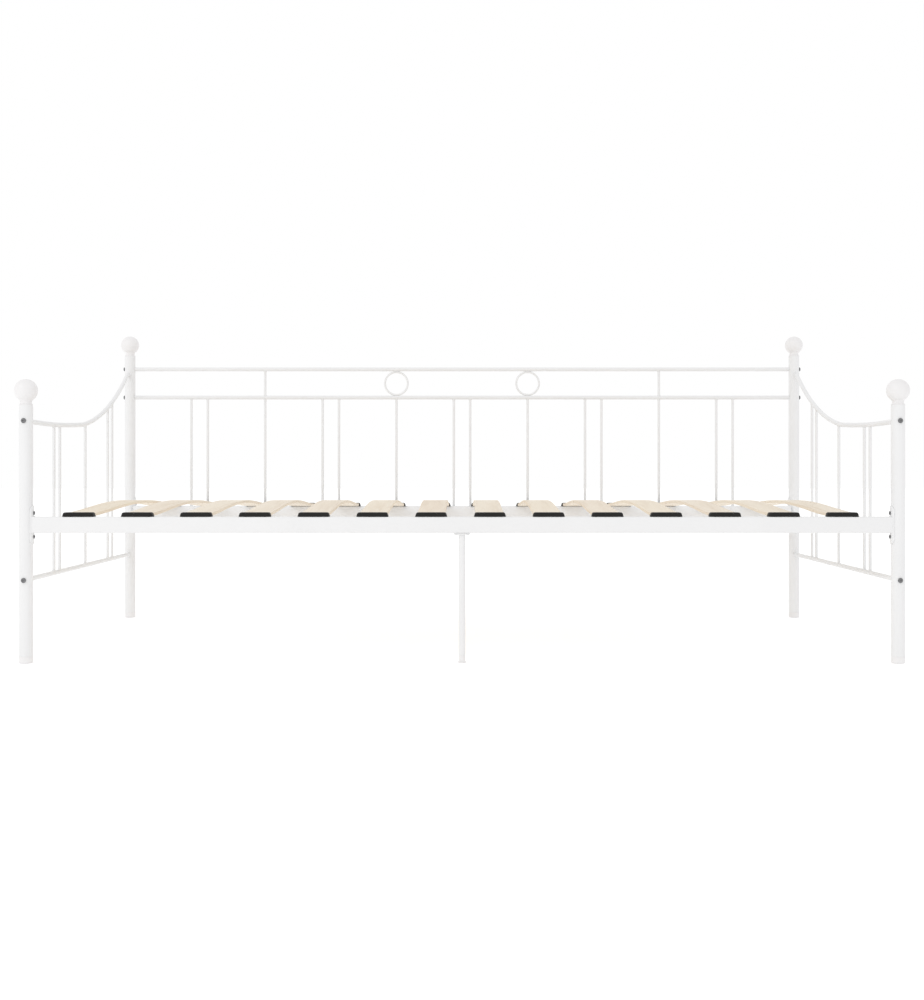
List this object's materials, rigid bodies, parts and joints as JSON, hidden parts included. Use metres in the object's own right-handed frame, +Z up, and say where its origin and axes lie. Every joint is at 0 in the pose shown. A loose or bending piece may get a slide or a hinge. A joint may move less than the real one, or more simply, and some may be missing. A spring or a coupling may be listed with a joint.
{
  "type": "daybed",
  "caption": "White metal daybed with round ball-topped posts, swept end rails, a spindle back with rings and bowed birch slats in dark end holders.",
  "frame": {"origin": "on the floor, at the centre of the bounding box's underside", "axes": "+X along the bed's length, to the right for someone facing the back panel; +Y from the open front to the back panel; +Z up"},
  "size_m": [2.114, 0.9832, 0.8708],
  "materials": {
    "white_powder_coat": "white powder coat, low satin sheen with a very fine orange peel",
    "white_plastic": "white moulded plastic, satin",
    "birch_plywood": "pale birch plywood, bowed, clear matt lacquer",
    "black_plastic": "near-black moulded plastic with a fine grain",
    "dark_zinc_steel": "dark zinc-plated steel button heads with a hexagon socket"
  },
  "bodies": {
    "frame": {"back_bolt_left_lower": "dark_zinc_steel", "back_bolt_left_upper": "dark_zinc_steel", "back_bolt_right_lower": "dark_zinc_steel", "back_bolt_right_upper": "dark_zinc_steel", "back_panel": "white_powder_coat", "centre_leg_back": "white_powder_coat", "centre_leg_front": "white_powder_coat", "end_bolt_back_left_lower": "dark_zinc_steel", "end_bolt_back_left_upper": "dark_zinc_steel", "end_bolt_back_right_lower": "dark_zinc_steel", "end_bolt_back_right_upper": "dark_zinc_steel", "end_bolt_front_left_lower": "dark_zinc_steel", "end_bolt_front_left_upper": "dark_zinc_steel", "end_bolt_front_right_lower": "dark_zinc_steel", "end_bolt_front_right_upper": "dark_zinc_steel", "end_panel_left": "white_powder_coat", "end_panel_right": "white_powder_coat", "finial_back_left": "white_plastic", "finial_back_right": "white_plastic", "finial_front_left": "white_plastic", "finial_front_right": "white_plastic", "foot_plug_back_left": "white_plastic", "foot_plug_back_right": "white_plastic", "foot_plug_front_left": "white_plastic", "foot_plug_front_right": "white_plastic", "front_rail": "white_powder_coat", "leg_screw_back_left": "white_powder_coat", "leg_screw_back_right": "white_powder_coat", "leg_screw_front_left": "white_powder_coat", "leg_screw_front_right": "white_powder_coat", "post_back_left": "white_powder_coat", "post_back_right": "white_powder_coat", "post_front_left": "white_powder_coat", "post_front_right": "white_powder_coat", "saddle_bolt_back_left_lower": "dark_zinc_steel", "saddle_bolt_back_left_upper": "dark_zinc_steel", "saddle_bolt_back_right_lower": "dark_zinc_steel", "saddle_bolt_back_right_upper": "dark_zinc_steel", "saddle_bolt_front_left_lower": "dark_zinc_steel", "saddle_bolt_front_left_upper": "dark_zinc_steel", "saddle_bolt_front_right_lower": "dark_zinc_steel", "saddle_bolt_front_right_upper": "dark_zinc_steel", "slat_01": "birch_plywood", "slat_02": "birch_plywood", "slat_03": "birch_plywood", "slat_04": "birch_plywood", "slat_05": "birch_plywood", "slat_06": "birch_plywood", "slat_07": "birch_plywood", "slat_08": "birch_plywood", "slat_09": "birch_plywood", "slat_10": "birch_plywood", "slat_11": "birch_plywood", "slat_12": "birch_plywood", "slat_13": "birch_plywood", "slat_14": "birch_plywood"},
    "front_foot": {"levelling_foot_front": "white_plastic"},
    "back_foot": {"levelling_foot_back": "white_plastic"}
  },
  "joints": [
    {"name": "front_foot_height", "type": "slide", "parent": "frame", "child": "front_foot", "axis": [0, 0, 1], "range_m": [-0.01, 0]},
    {"name": "back_foot_height", "type": "slide", "parent": "frame", "child": "back_foot", "axis": [0, 0, 1], "range_m": [-0.01, 0]}
  ]
}
